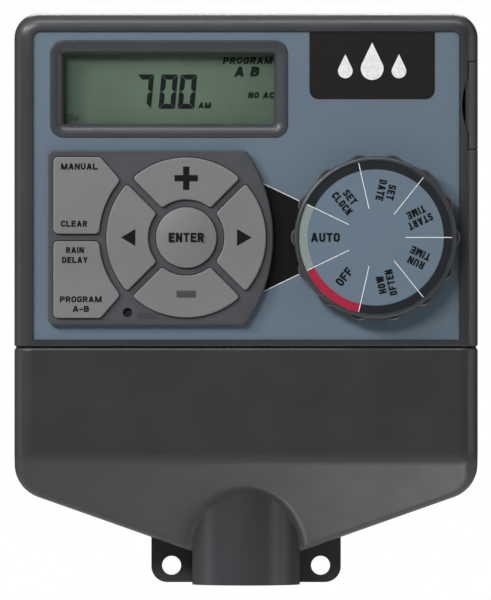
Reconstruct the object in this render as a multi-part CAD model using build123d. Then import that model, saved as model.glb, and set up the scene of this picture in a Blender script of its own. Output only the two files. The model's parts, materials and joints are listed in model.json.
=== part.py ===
from build123d import *
import math
import os

# Irrigation controller for an indoor wall.
#
# A shallow rear tray with screw tabs carries a front shell with a display, a keypad, a selector
# dial and a pull-out battery drawer. A pull-off cover closes the wiring compartment below it.
#
# X runs to the right and Z up. The wall is the plane Y = 0 and the front faces -Y, so each
# "depth" is a distance forward from the wall. The origin is midway between the two screw tabs.

# ---- Casing ---------------------------------------------------------------------------------
BODY_W = 159.0  # overall width
HALF_W = BODY_W / 2
UPPER_TOP = 190.2  # top of the front shell
UPPER_BOTTOM = 76.0  # underside of the front shell
FRONT = 46.0  # depth of the front shell and the cover
SPLIT = 12.0  # depth of the parting line between rear tray and front shell
SPLIT_GAP = 0.3
WALL = 2.5  # side walls
CORNER_R = 8.5
EDGE_R = 5.4  # rounded front edge of the shell
UNDERSIDE_R = 0.7  # front and side edges of the shell's underside
PLATE = 2.5  # back plate of the rear tray
RAIL = 2.1  # bottom wall of the front shell
LIP = 1.0  # tongue of the rear tray inside the front shell
LIP_RISE = 2.0
FIT = 0.1

# ---- Front panel ----------------------------------------------------------------------------
PANEL_HALF_W = 73.1
PANEL_TOP = 184.0
PANEL_BOTTOM = 78.2
PANEL_R = 2.3
PANEL_FLOOR = 44.5  # floor of the recess in the front shell
PANEL_FACE = 45.3  # visible face of the overlay
PANEL_BACK = 42.3  # inner face of the front wall

# ---- Display --------------------------------------------------------------------------------
LCD_X, LCD_Z = -26.4, 164.2
BEZEL_W, BEZEL_H, BEZEL_R = 81.3, 33.2, 4.4
BEZEL_RIM_R = 0.35  # outer front edge
BEZEL_MOUTH_R = 3.6  # inner front edge, which curves in to the window
BEZEL_FRONT, BEZEL_BACK = 45.7, 40.9
WINDOW_W, WINDOW_H, WINDOW_R = 72.0, 23.6, 0.5
FLANGE_W, FLANGE_H = 84.4, 36.4
LENS_T = 1.2
LCD_FRONT, LCD_BACK = 39.5, 36.9
GLASS_W, GLASS_H = 78.3, 31.0

# ---- Keypad ---------------------------------------------------------------------------------
AXIS_Z = 113.3  # height of the ring of keys and of the dial
RING_X = -20.5  # centre of the ring of keys
PAD_LEFT, PAD_RIGHT, PAD_BULGE = -67.9, -0.3, 9.35
PAD_HALF_H = 29.95
PAD_R = 2.2
PAD_FRONT = 48.0
PAD_EDGE_R = 0.6
PAD_STEP = 0.7  # the part that enters the front wall is this much smaller
KEY_FRONT = 49.2
KEY_BACK = 42.2
KEY_CLEAR = 0.25
KEY_EDGE_R = 0.5
KEY_GAP = 2.6
ENTER_R = 10.4
RING_INNER_R, RING_OUTER_R = 13.0, 27.4
RING_KEY_R = 1.1  # corners of the keys in the ring
ROCKER_LEFT, ROCKER_TOP = -66.0, 27.6  # the latter above the axis
ROCKER_SHOULDER_X = -49.9  # right-hand end of its level edge
ROCKER_ARC_R = 29.8
ROCKER_KEY_R = 1.6  # corners
ROCKER_FOOT = 1.25  # lower edge above the axis
ROCKER_PIVOT_DEPTH = 44.6
ROCKER_PIN_R = 0.9
ROCKER_PIN = 0.8
KEY_FLANGE = 0.9
STEM_R = 2.2
STEM_END = 38.3
RESET_X, RESET_Z, RESET_R = -40.6, 87.6, 1.4

# ---- Main circuit board ---------------------------------------------------------------------
BOARD_FRONT, BOARD_BACK = 34.0, 32.4
BOARD_HALF_W, BOARD_TOP, BOARD_BOTTOM = 75.0, 186.0, 80.0
BOARD_POSTS = [(27.0, 178.0), (-73.0, 143.7), (25.0, 86.0), (70.0, 125.0)]
CASE_POSTS = [(x, z) for x in (-72.2, 72.2) for z in (82.6, 183.0)]
MAT_T = 0.9

# ---- Selector dial --------------------------------------------------------------------------
DIAL_X = 44.3
DIAL_R, DIAL_LOBE_R = 27.8, 29.0
DIAL_EDGE_R = 1.1
LOBES = 14
DIAL_BACK, DIAL_FRONT, LOBE_FRONT = 46.1, 53.6, 51.4
LABEL_R, LABEL_FLOOR, LABEL_FACE = 26.3, 52.5, 53.2
HUB_R, HUB_HOLE_R = 7.5, 7.56
HUB_END = 40.6
ROTOR_R = 13.0
ROTOR_FRONT, ROTOR_BACK = 40.4, 37.6
WIPER_T = 0.4

# ---- Battery drawer -------------------------------------------------------------------------
DRAWER_LOW, DRAWER_HIGH = 143.4, 173.9
DRAWER_X = 75.95  # inner edge of the visible strip
DRAWER_BACK = 34.0
DRAWER_GAP = 0.35
GRIP_X = 74.0  # inner edge of the lens-shaped finger grip
GRIP_HALF_H = 10.1
TRAY_BACK, TRAY_FRONT = 36.6, 41.5
TRAY_LEFT, TRAY_HALF_H = 47.0, 12.15
CELL_X, CELL_R, CELL_T = 59.5, 10.0, 3.2
CELL_BACK = 37.95

# ---- Wiring compartment and its cover --------------------------------------------------------
COVER_TOP = 75.6
COVER_TOP_R = 1.1
COVER_WALL = 2.2
COVER_BACK = 0.8
COVER_EDGE_R = 6.0
LEDGE_TOP = 74.9  # the cover's walls are lower than this behind the parting line
TRAY_FOOT = 75.2  # lower edge of the rear tray's outer walls
SLANT = 19.8  # degrees below level of the two lower edges
SLANT_Z = 27.0  # where a lower edge meets the side
SLANT_R = 12.0
SLOPE_TOP = 37.3  # the face turns back to the wall below this height
SLOPE = 42.3  # degrees from upright
SLOPE_R = 8.0
PIPE_R, PIPE_DEPTH = 18.55, 18.5  # outlet for cables or a conduit
PIPE_BOTTOM, PIPE_STOP = -6.2, 8.0
PIPE_TOP = 30.0  # its round front runs up to here, inside the cover
PIPE_SIDES_TOP = 20.0  # its straight sides end lower, still inside the cover
PIPE_BLEND_R = 3.0
CONDUIT_R, PASSAGE_R = 16.85, 15.3
COVER_FIT = 0.35
TAB_X, TAB_HOLE_R = 25.8, 3.3
TAB_OUTER, TAB_BOTTOM, TAB_R, TAB_T = 32.8, -5.8, 5.5, 3.0
NOTCH_HALF_W, NOTCH_TOP = 15.6, 10.0
KEYHOLE_Z, KEYHOLE_R, KEYHOLE_SLOT_R, KEYHOLE_RISE = 150.0, 4.5, 2.3, 8.0

# ---- Terminal strip -------------------------------------------------------------------------
WAYS = 12
PITCH = 8.4
STRIP_LOW, STRIP_HIGH = 47.0, 60.0
STRIP_BACK, STRIP_FRONT = 8.6, 21.0
STRIP_BOARD_BACK = 7.0
STRIP_BOARD_HALF_W, STRIP_BOARD_LOW, STRIP_BOARD_HIGH = 62.0, 45.0, 73.0
STRIP_POSTS = [(x, z) for x in (-58.0, 58.0) for z in (49.0, 69.0)]
ENTRY_W, ENTRY_BACK, ENTRY_FRONT, ENTRY_TOP = 5.6, 10.0, 15.2, 56.0
SCREW_Z = 53.0
RIBBON_HALF_W, RIBBON_T = 16.0, 0.9


# ---- Drawing helpers ------------------------------------------------------------------------
def slab(face, back, front):
    """A face drawn in (X, Z), made solid from one depth to another."""
    return extrude(Plane.XZ.offset(back) * face, amount=front - back, dir=(0, -1, 0))


def rod(x, z, radius, back, front):
    """A round bar that points straight out of the wall."""
    return slab(Pos(x, z) * Circle(radius), back, front)


def box(x_range, z_range, back, front):
    """A box from its X and Z ranges and its two depths."""
    (x0, x1), (z0, z1) = x_range, z_range
    face = Pos((x0 + x1) / 2, (z0 + z1) / 2) * Rectangle(x1 - x0, z1 - z0)
    return slab(face, back, front)


def side_slab(points, x0, x1):
    """An outline of (depth, Z) points, made solid from one X to another."""
    face = make_face(Polyline(*[(-depth, z) for depth, z in points], close=True))
    return extrude(Plane.YZ.offset(x0) * face, amount=x1 - x0, dir=(1, 0, 0))


def strip_path(points, width):
    """The (depth, Z) outline of a thin strip that follows a path of (depth, Z) points."""
    near, far = [], []
    for i, (depth, z) in enumerate(points):
        before, after = points[max(i - 1, 0)], points[min(i + 1, len(points) - 1)]
        run = math.hypot(after[0] - before[0], after[1] - before[1])
        side = ((after[1] - before[1]) / run, -(after[0] - before[0]) / run)
        near.append((depth + side[0] * width / 2, z + side[1] * width / 2))
        far.append((depth - side[0] * width / 2, z - side[1] * width / 2))
    return near + far[::-1]


def upright_rod(x, depth, radius, z0, z1):
    """A round bar that stands along Z."""
    face = Plane.XY.offset(z0) * Pos(x, -depth) * Circle(radius)
    return extrude(face, amount=z1 - z0, dir=(0, 0, 1))


def cross_rod(depth, z, radius, x0, x1):
    """A round bar that lies along X."""
    face = Plane.YZ.offset(x0) * Pos(-depth, z) * Circle(radius)
    return extrude(face, amount=x1 - x0, dir=(1, 0, 0))


def screw(x, z, head_r, head, shank_r, shank_end):
    """A cross-head screw: its head runs between two depths, and its shank goes on to shank_end."""
    slot_w, slot_l = head_r * 0.28, head_r * 1.25
    cut = abs(head[1] - head[0]) * 0.55
    solid = rod(x, z, head_r, min(head), max(head))
    solid += rod(x, z, shank_r, min(*head, shank_end), max(*head, shank_end))
    outer = head[0]
    inner = outer + cut if head[1] > head[0] else outer - cut
    for w, h in ((slot_w, slot_l), (slot_l, slot_w)):
        solid -= slab(Pos(x, z) * Rectangle(w, h), min(outer, inner), max(outer, inner))
    return solid


# ---- Casing ---------------------------------------------------------------------------------
def upper_outline(inset=0.0, foot=None):
    """The outline of the upper casing, drawn smaller by inset. foot is its lower edge."""
    low = UPPER_BOTTOM + inset if foot is None else foot
    high = UPPER_TOP - inset
    face = Pos(0, (low + high) / 2) * Rectangle(BODY_W - 2 * inset, high - low)
    return fillet(face.vertices().group_by(Axis.Y)[-1], CORNER_R - inset)


def cover_outline(inset=0.0, top=COVER_TOP):
    """The five-sided outline of the wiring compartment, drawn smaller by inset."""
    lean = math.radians(SLANT)
    half = HALF_W - inset
    corner = SLANT_Z - inset * math.tan(lean) + inset / math.cos(lean)
    tip = SLANT_Z - HALF_W * math.tan(lean) + inset / math.cos(lean)
    points = [(-half, top), (half, top), (half, corner), (0, tip), (-half, corner)]
    face = make_face(Polyline(*points, close=True))
    corners = [v for v in face.vertices() if abs(v.Y - corner) < 0.01]
    return fillet(corners, SLANT_R - inset)


def cover_block(inset=0.0, top=COVER_TOP, back=COVER_BACK, pipe=None):
    """The cover as a solid block: flat in front, and sloping back below.

    A pipe is blended into the slope. The block starts as a prism that reaches back past the
    pipe, so that its rear edges stay clear of the blend.
    """
    lean = math.radians(SLOPE)
    front = FRONT - inset
    knee = SLOPE_TOP + inset * (1 / math.cos(lean) - 1) / math.tan(lean)
    low = PIPE_BOTTOM
    foot = front - (knee - low) * math.tan(lean)
    far = back - 2.0
    profile = [(far, low), (foot, low), (front, knee), (front, top), (far, top)]
    side = side_slab(profile, -HALF_W, HALF_W)
    if pipe is not None:
        side += pipe
        level = [e for e in side.edges() if low + 0.1 < e.center().Z < knee - 1]
        seam = [e for e in level if abs(e.center().X) < PIPE_R + 0.1]
        side = fillet([e for e in seam if e not in side.edges().filter_by(Axis.Z)], PIPE_BLEND_R)
    knee_edge = side.edges().filter_by(Axis.X).sort_by_distance((0, -front, knee))[0]
    side = fillet(knee_edge, SLOPE_R)
    return slab(cover_outline(inset, top), back, front) & side


def cover_pipe():
    """The outlet for cables or a conduit, without its bore."""
    pipe = upright_rod(0, PIPE_DEPTH, PIPE_R, PIPE_BOTTOM, PIPE_TOP)
    return pipe + box((-PIPE_R, PIPE_R), (PIPE_BOTTOM, PIPE_SIDES_TOP), COVER_BACK, PIPE_DEPTH)


def tab_outline(grow=0.0):
    """Both screw tabs and the bridge between them, as drawn on the wall."""
    high = 16.0
    width, height = 2 * (TAB_OUTER + grow), high - TAB_BOTTOM + 2 * grow
    face = Pos(0, (TAB_BOTTOM + high) / 2) * Rectangle(width, height)
    return fillet(face.vertices().group_by(Axis.Y)[0], TAB_R)


def case_screw_pads():
    """Raised pads that the four casing screws pass through."""
    return [rod(x, z, 4.4, PLATE, 5.6) for x, z in CASE_POSTS]


def rear_housing():
    """Back plate with low walls, screw tabs, a keyhole and posts for the strip board."""
    plate = slab(upper_outline(foot=TRAY_FOOT), 0, SPLIT - SPLIT_GAP)
    plate -= slab(upper_outline(WALL, foot=UPPER_BOTTOM + RAIL), PLATE, SPLIT)
    lip = slab(upper_outline(WALL - LIP), SPLIT - 2, SPLIT + LIP_RISE)
    lip -= slab(upper_outline(WALL), SPLIT - 3, SPLIT + LIP_RISE + 1)
    lower = COVER_WALL + COVER_FIT
    tray = slab(cover_outline(lower, top=UPPER_BOTTOM + 1), 0, PLATE)
    rim = slab(cover_outline(lower, top=UPPER_BOTTOM + 1), 0, 9.0)
    rim -= slab(cover_outline(lower + 1.8, top=UPPER_BOTTOM + 2), PLATE, 10.0)
    rim &= box((-HALF_W, HALF_W), (STRIP_BOARD_LOW, UPPER_BOTTOM + 0.5), 0, 10.0)
    solid = plate + lip + tray + rim + slab(tab_outline(), 0, TAB_T)
    solid -= box((-NOTCH_HALF_W, NOTCH_HALF_W), (TAB_BOTTOM - 1, NOTCH_TOP), -1, 10)
    for side in (-1, 1):
        solid -= rod(side * TAB_X, 0, TAB_HOLE_R, -1, 10)
    for pad in case_screw_pads():
        solid += pad
    for x, z in CASE_POSTS:
        solid -= rod(x, z, 3.3, -1, 3.3)
        solid -= rod(x, z, 1.75, 3, 10)
    keyhole = Pos(0, KEYHOLE_Z) * Circle(KEYHOLE_R)
    keyhole += Pos(0, KEYHOLE_Z + KEYHOLE_RISE / 2) * Rectangle(2 * KEYHOLE_SLOT_R, KEYHOLE_RISE)
    keyhole += Pos(0, KEYHOLE_Z + KEYHOLE_RISE) * Circle(KEYHOLE_SLOT_R)
    solid -= slab(keyhole, -1, PLATE + 1)
    for x, z in STRIP_POSTS:
        solid += rod(x, z, 3.2, PLATE, STRIP_BOARD_BACK)
        solid -= rod(x, z, 1.15, PLATE + 0.5, STRIP_BOARD_BACK + 1)
    slot_half = RIBBON_HALF_W + 2
    solid -= box((-slot_half, slot_half), (UPPER_BOTTOM - 2, UPPER_BOTTOM + 4), 6.0, SPLIT + 4)
    for x in (-44.0, -22.0, 22.0, 44.0):
        solid += box((x - 0.8, x + 0.8), (84.0, 182.0), PLATE, 5.0)
    return solid


def front_block():
    """The outside of the front shell, with its front edges rounded."""
    solid = slab(upper_outline(), SPLIT, FRONT)
    edges = solid.edges().filter_by_position(Axis.Y, -FRONT, -FRONT)
    solid = fillet(edges.sort_by(Axis.Z)[1:], EDGE_R)
    low = solid.faces().sort_by(Axis.Z)[0].edges()
    return fillet([e for e in low if e.center().Y < -SPLIT - 0.1], UNDERSIDE_R)


def window_face(grow=0.0):
    """The visible opening over the display."""
    return Pos(LCD_X, LCD_Z) * RectangleRounded(WINDOW_W + 2 * grow, WINDOW_H + 2 * grow, WINDOW_R + grow)


def bezel_face(grow=0.0):
    """The outline of the display surround."""
    return Pos(LCD_X, LCD_Z) * RectangleRounded(BEZEL_W + 2 * grow, BEZEL_H + 2 * grow, BEZEL_R + grow)


def pad_face(inset=0.0):
    """The keypad plate: square on the left and bowed out on the right."""
    top, bottom = AXIS_Z + PAD_HALF_H - inset, AXIS_Z - PAD_HALF_H + inset
    left, right = PAD_LEFT + inset, PAD_RIGHT - inset * 0.6
    outline = Polyline((right, bottom), (left, bottom), (left, top), (right, top))
    outline += ThreePointArc((right, top), (PAD_BULGE - inset, AXIS_Z), (right, bottom))
    face = make_face(outline)
    return fillet(face.vertices(), max(PAD_R - inset, 0.6))


def grip_face(grow=0.0):
    """The visible end of the battery drawer: a strip with a lens-shaped bulge to the left."""
    middle = (DRAWER_LOW + DRAWER_HIGH) / 2
    strip = Pos((DRAWER_X + HALF_W + 1) / 2 - grow / 2, middle) * Rectangle(
        HALF_W + 1 - DRAWER_X + grow, DRAWER_HIGH - DRAWER_LOW + 2 * grow
    )
    bulge = ThreePointArc(
        (DRAWER_X + 0.5, middle - GRIP_HALF_H - grow),
        (GRIP_X - grow, middle),
        (DRAWER_X + 0.5, middle + GRIP_HALF_H + grow),
    )
    chord = Line(bulge @ 1, bulge @ 0)
    return strip + make_face(bulge + chord)


def front_housing():
    """Front shell with openings for the display, keypad, dial and battery drawer."""
    solid = front_block()
    solid -= slab(upper_outline(WALL, foot=UPPER_BOTTOM + RAIL), SPLIT - 1, PANEL_BACK)
    solid -= slab(upper_outline(WALL - LIP - FIT), SPLIT - 1, SPLIT + LIP_RISE + 0.2)
    solid -= slab(panel_face(), PANEL_FLOOR, FRONT + 1)
    solid -= slab(bezel_face(FIT), PANEL_BACK - 1, FRONT)
    solid -= slab(pad_face(PAD_STEP - FIT), PANEL_BACK - 1, FRONT)
    solid += rod(DIAL_X, AXIS_Z, 11.0, ROTOR_FRONT + 0.3, PANEL_FLOOR)
    solid -= rod(DIAL_X, AXIS_Z, HUB_HOLE_R, 30, FRONT)
    solid -= slab(grip_face(), DRAWER_BACK, FRONT + 1)
    for x, z in BOARD_POSTS:
        solid += rod(x, z, 3.0, BOARD_FRONT, PANEL_FLOOR - 0.5)
        solid -= rod(x, z, 1.15, BOARD_FRONT - 1, PANEL_BACK - 0.5)
    for x, z in CASE_POSTS:
        solid += rod(x, z, 3.6, 5.8, PANEL_BACK + 0.5)
        solid -= rod(x, z, 1.5, 5, 22)
    for z in (DRAWER_LOW + 1.2, DRAWER_HIGH - 2.8):
        solid += box((48.0, 75.0), (z, z + 1.6), 35.4, PANEL_BACK + 0.5)
    for x in (DIAL_X - 15.5, DIAL_X + 15.5):
        solid += rod(x, AXIS_Z - 16.2, 1.6, 37.0, PANEL_BACK + 0.5)
    slot_half = RIBBON_HALF_W + 2
    slot_z = (UPPER_BOTTOM - 1, UPPER_BOTTOM + RAIL + 1)
    return solid - box((-slot_half, slot_half), slot_z, SPLIT - 1, 20)


def panel_face(inset=0.0):
    """The coloured overlay: rounded at the top and square at the bottom."""
    low, high = PANEL_BOTTOM + inset, PANEL_TOP - inset
    face = Pos(0, (low + high) / 2) * Rectangle(2 * (PANEL_HALF_W - inset), high - low)
    return fillet(face.vertices().group_by(Axis.Y)[-1], PANEL_R)


def faceplate():
    """Coloured overlay stuck into the recess of the front shell."""
    solid = slab(panel_face(FIT), PANEL_FLOOR, PANEL_FACE)
    solid -= slab(bezel_face(FIT), PANEL_FLOOR - 1, PANEL_FACE + 1)
    solid -= slab(pad_face(PAD_STEP - FIT), PANEL_FLOOR - 1, PANEL_FACE + 1)
    return solid - rod(DIAL_X, AXIS_Z, 9.0, PANEL_FLOOR - 1, PANEL_FACE + 1)


def case_screws():
    """Four screws, driven from behind, that join the rear tray to the front shell."""
    return [screw(x, z, 2.9, (0.9, 3.2), 1.45, 20.0) for x, z in CASE_POSTS]


# ---- Display --------------------------------------------------------------------------------
def lcd_bezel():
    """Surround whose four sides curve in to the display window."""
    solid = slab(bezel_face(), BEZEL_BACK, BEZEL_FRONT)
    rim = solid.edges().filter_by_position(Axis.Y, -BEZEL_FRONT, -BEZEL_FRONT)
    solid = fillet(rim, BEZEL_RIM_R)
    solid += slab(Pos(LCD_X, LCD_Z) * Rectangle(FLANGE_W, FLANGE_H), BEZEL_BACK, PANEL_BACK)
    solid -= slab(window_face(), BEZEL_BACK - 1, BEZEL_FRONT + 1)
    front_face = solid.faces().sort_by(Axis.Y)[0]
    return fillet(front_face.inner_wires()[0].edges(), BEZEL_MOUTH_R)


def lcd_lens():
    """Clear window behind the surround."""
    return slab(Pos(LCD_X, LCD_Z) * Rectangle(76.0, 27.6), BEZEL_BACK - LENS_T, BEZEL_BACK)


def lcd_glass():
    """Display cell: a front glass and a slightly taller rear glass."""
    middle = (LCD_BACK + LCD_FRONT) / 2
    rear = slab(Pos(LCD_X, LCD_Z) * Rectangle(GLASS_W, GLASS_H), LCD_BACK, middle)
    return rear + slab(Pos(LCD_X, LCD_Z) * Rectangle(GLASS_W, GLASS_H - 4.0), middle, LCD_FRONT)


def lcd_holder():
    """Frame that locates the lens and the display cell on the board."""
    solid = slab(Pos(LCD_X, LCD_Z) * Rectangle(FLANGE_W - 0.4, FLANGE_H - 0.4), BOARD_FRONT, BEZEL_BACK)
    return solid - slab(Pos(LCD_X, LCD_Z) * Rectangle(GLASS_W + 0.4, GLASS_H + 0.4), 30, BEZEL_BACK + 1)


def contact_strips():
    """Two rubber strips that carry the signals from the board to the display cell."""
    made = []
    for side in (-1, 1):
        z = LCD_Z + side * (GLASS_H / 2 - 1.3)
        made.append(box((LCD_X - 36, LCD_X + 36), (z - 1, z + 1), BOARD_FRONT, LCD_BACK))
    return made


# ---- Keypad ---------------------------------------------------------------------------------
def enter_face():
    """The round key in the middle."""
    return Pos(RING_X, AXIS_Z) * Circle(ENTER_R)


def ring_face(turn):
    """One of the four keys in the ring, turned from the top by so many degrees."""
    step, reach = KEY_GAP / math.sqrt(2), 40.0
    wedge = make_face(Polyline((0, step), (reach, reach + step), (-reach, reach + step), close=True))
    sector = (Circle(RING_OUTER_R) - Circle(RING_INNER_R)) & wedge
    sector = fillet(sector.vertices(), RING_KEY_R)
    return Pos(RING_X, AXIS_Z) * Rot(0, 0, turn) * sector


def rocker_face(side):
    """One of the two rocking keys on the left, above (1) or below (-1) the axis."""
    points = [
        (ROCKER_LEFT, ROCKER_FOOT),
        (ROCKER_LEFT, ROCKER_TOP),
        (ROCKER_SHOULDER_X, ROCKER_TOP),
        (-38.0, 14.0),
        (-38.0, ROCKER_FOOT),
    ]
    face = make_face(Polyline(*points, close=True)) - Pos(RING_X, 0) * Circle(ROCKER_ARC_R)
    face = fillet(face.vertices(), ROCKER_KEY_R)
    return Pos(0, AXIS_Z) * (face if side > 0 else mirror(face, Plane.XZ))


def rocker_height(side):
    """The height that a rocking key pivots at."""
    return AXIS_Z + side * (ROCKER_FOOT + ROCKER_TOP) / 2


def all_key_faces():
    """Outlines of the seven keys."""
    ring = [ring_face(turn) for turn in (0, 90, 180, 270)]
    return [enter_face(), *ring, rocker_face(1), rocker_face(-1)]


def keypad_bezel():
    """Raised plate that guides the keys, with a step that enters the front wall."""
    solid = slab(pad_face(), PANEL_FACE, PAD_FRONT)
    rim = solid.edges().filter_by_position(Axis.Y, -PAD_FRONT, -PAD_FRONT)
    solid = fillet(rim, PAD_EDGE_R)
    solid += slab(pad_face(PAD_STEP), PANEL_BACK, PANEL_FACE)
    for face in all_key_faces():
        solid -= slab(offset(face, KEY_CLEAR), PANEL_BACK - 1, PAD_FRONT + 1)
    for side in (1, -1):
        z = rocker_height(side)
        pin = ROCKER_PIN_R + 0.1
        left, right = ROCKER_LEFT - ROCKER_PIN - 0.2, rocker_pin_end() + 0.2
        solid -= cross_rod(ROCKER_PIVOT_DEPTH, z, pin, left, right)
        solid -= box((left, right), (z - pin, z + pin), PANEL_BACK - 1, ROCKER_PIVOT_DEPTH)
    return solid - rod(RESET_X, RESET_Z, RESET_R + 0.2, PANEL_BACK - 1, PAD_FRONT + 1)


def rocker_pin_end():
    """Where a rocking key's right-hand pin ends."""
    middle = (ROCKER_FOOT + ROCKER_TOP) / 2
    return RING_X - math.sqrt(ROCKER_ARC_R**2 - middle**2) + ROCKER_PIN


def key_body(face, flange_front, flange_back, stems):
    """A key cap with a flange behind the keypad plate and stems down to the mat."""
    solid = slab(face, flange_back, KEY_FRONT)
    crown = solid.edges().filter_by_position(Axis.Y, -KEY_FRONT, -KEY_FRONT)
    solid = fillet(crown, KEY_EDGE_R)
    solid += slab(offset(face, KEY_FLANGE), flange_back, flange_front)
    for x, z in stems:
        solid += rod(x, z, STEM_R, STEM_END, flange_back + 0.1)
    return solid


def key_spots():
    """Where each key presses the mat."""
    ring = (RING_INNER_R + RING_OUTER_R) / 2
    rocker_x = (ROCKER_LEFT + ROCKER_SHOULDER_X) / 2
    spots = {"enter": [(RING_X, AXIS_Z)]}
    for name, turn in (("plus", 90), ("left", 180), ("minus", 270), ("right", 0)):
        angle = math.radians(turn)
        spots[name] = [(RING_X + ring * math.cos(angle), AXIS_Z + ring * math.sin(angle))]
    for name, side in (("upper", 1), ("lower", -1)):
        z = rocker_height(side)
        spots[name] = [(rocker_x, z + 8.5), (rocker_x, z - 8.5)]
    return spots


def key_ring(name, turn):
    """A key of the ring that is pressed straight in."""
    return key_body(ring_face(turn), KEY_BACK, KEY_BACK - 1.1, key_spots()[name])


def key_enter():
    """The round key, with a domed cap."""
    cap_rise, ball_r = 1.2, 45.0
    solid = slab(enter_face(), KEY_BACK - 1.1, KEY_FRONT + cap_rise)
    ball = Pos(RING_X, -(KEY_FRONT + cap_rise - ball_r), AXIS_Z) * Sphere(ball_r)
    solid &= ball
    rim = solid.edges().filter_by(GeomType.CIRCLE).sort_by(Axis.Y)[0]
    solid = fillet(rim, 0.4)
    solid += slab(offset(enter_face(), KEY_FLANGE), KEY_BACK - 1.1, KEY_BACK)
    x, z = key_spots()["enter"][0]
    return solid + rod(x, z, STEM_R, STEM_END, KEY_BACK - 1)


def key_rocker(name, side):
    """A two-way key on side pins."""
    solid = key_body(rocker_face(side), 41.5, 40.6, key_spots()[name])
    left, right = ROCKER_LEFT - ROCKER_PIN, rocker_pin_end()
    return solid + cross_rod(ROCKER_PIVOT_DEPTH, rocker_height(side), ROCKER_PIN_R, left, right)


def reset_button():
    """Recessed pin that is pressed with a pointed tool."""
    solid = rod(RESET_X, RESET_Z, RESET_R, 38.9, PAD_FRONT - 1.3)
    return solid + rod(RESET_X, RESET_Z, 2.5, 40.8, KEY_BACK)


def keypad_mat():
    """Rubber mat on the board with a dome under each pressing point."""
    solid = box((-66.5, 7.0), (AXIS_Z - 27.8, AXIS_Z + 27.8), BOARD_FRONT, BOARD_FRONT + MAT_T)
    room = 3.8
    across = (RESET_X - room, RESET_X + room)
    solid -= box(across, (AXIS_Z - 28.0, RESET_Z + room), BOARD_FRONT, BOARD_FRONT + 1)
    for spots in key_spots().values():
        for x, z in spots:
            skirt = Plane.XZ.offset(BOARD_FRONT + MAT_T) * Pos(x, z) * Circle(3.6)
            crown = Plane.XZ.offset(STEM_END - 0.05) * Pos(x, z) * Circle(2.5)
            solid += loft([skirt, crown])
    return solid


def reset_switch():
    """Small switch on the board under the reset pin."""
    solid = box((RESET_X - 3, RESET_X + 3), (RESET_Z - 3, RESET_Z + 3), BOARD_FRONT, BOARD_FRONT + 3.4)
    return solid + rod(RESET_X, RESET_Z, 1.2, BOARD_FRONT + 3, 38.25)


# ---- Main circuit board ---------------------------------------------------------------------
def main_board():
    """Board that carries the display, the mat, the selector tracks and the switching parts."""
    width, height = 2 * BOARD_HALF_W, BOARD_TOP - BOARD_BOTTOM
    face = Pos(0, (BOARD_TOP + BOARD_BOTTOM) / 2) * RectangleRounded(width, height, 2.0)
    solid = slab(face, BOARD_BACK, BOARD_FRONT)
    for x, z in CASE_POSTS:
        solid -= rod(x, z, 4.3, 30, 36)
        solid -= box((min(x, x * 2), max(x, x * 2)), (z - 4.3, z + 4.3), 30, 36)
    for x, z in BOARD_POSTS:
        solid -= rod(x, z, 1.6, 30, 36)
    return solid


def board_screws():
    """Four screws that hold the board to the front shell."""
    head = (BOARD_BACK - 1.8, BOARD_BACK)
    return [screw(x, z, 2.6, head, 1.1, BOARD_FRONT + 6) for x, z in BOARD_POSTS]


def controller_chip():
    """Square chip that runs the programs."""
    x, z, half = -26.0, 118.0, 6.0
    solid = box((x - half, x + half), (z - half, z + half), BOARD_BACK - 1.8, BOARD_BACK - 0.15)
    for k in range(9):
        along = -4.8 + 1.2 * k
        for side in (-1, 1):
            edge = side * (half + 0.6)
            upright = Pos(x + edge, z + along) * Rectangle(1.4, 0.4)
            level = Pos(x + along, z + edge) * Rectangle(0.4, 1.4)
            solid += slab(upright, BOARD_BACK - 0.3, BOARD_BACK)
            solid += slab(level, BOARD_BACK - 0.3, BOARD_BACK)
    return solid


def supply_capacitors():
    """Two upright electrolytic capacitors."""
    return [rod(x, 160.0, 5.0, BOARD_BACK - 12.5, BOARD_BACK) for x in (-4.0, 9.0)]


def station_triacs():
    """Seven switching parts in a row, one for each station and one for the pump."""
    made = []
    for k in range(7):
        x = -33.0 + 11.0 * k
        body = Pos(x, 94.0) * Circle(2.4) & Pos(x, 94.6) * Rectangle(6.0, 3.6)
        legs = box((x - 1.6, x + 1.6), (93.8, 94.3), BOARD_BACK - 1.6, BOARD_BACK)
        made.append(slab(body, BOARD_BACK - 7.0, BOARD_BACK - 1.5) + legs)
    return made


def surge_varistors():
    """Two flat discs that soak up surges on the supply."""
    made = []
    for x in (30.0, 40.0):
        face = Plane.YZ.offset(x) * Pos(-(BOARD_BACK - 6.2), 158.0) * Circle(4.6)
        disc = extrude(face, amount=3.2, dir=(1, 0, 0))
        made.append(disc + box((x + 1.2, x + 2.0), (155.5, 160.5), BOARD_BACK - 3.0, BOARD_BACK))
    return made


def ribbon_headers():
    """Plug rows for the ribbon: one on the main board and one on the strip board."""
    upper = box((-RIBBON_HALF_W - 1, RIBBON_HALF_W + 1), (84.0, 88.0), BOARD_BACK - 6.0, BOARD_BACK)
    lower = box((-RIBBON_HALF_W - 1, RIBBON_HALF_W + 1), (65.0, 69.0), STRIP_BACK, STRIP_BACK + 5.0)
    return [upper, lower]


def ribbon_cable():
    """Flat cable from the main board down to the strip board."""
    path = [
        (BOARD_BACK - 6.0, 86.0),
        (BOARD_BACK - 8.4, 86.0),
        (BOARD_BACK - 11.0, 85.0),
        (19.6, 82.8),
        (18.2, 79.5),
        (17.4, 76.0),
        (17.0, 72.5),
        (16.7, 70.0),
        (16.1, 68.0),
        (15.0, 67.0),
        (STRIP_BACK + 5.0, 67.0),
    ]
    return side_slab(strip_path(path, RIBBON_T), -RIBBON_HALF_W, RIBBON_HALF_W)


# ---- Selector dial --------------------------------------------------------------------------
def dial_face(radius):
    """A circle at the dial's centre."""
    return Pos(DIAL_X, AXIS_Z) * Circle(radius)


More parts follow.
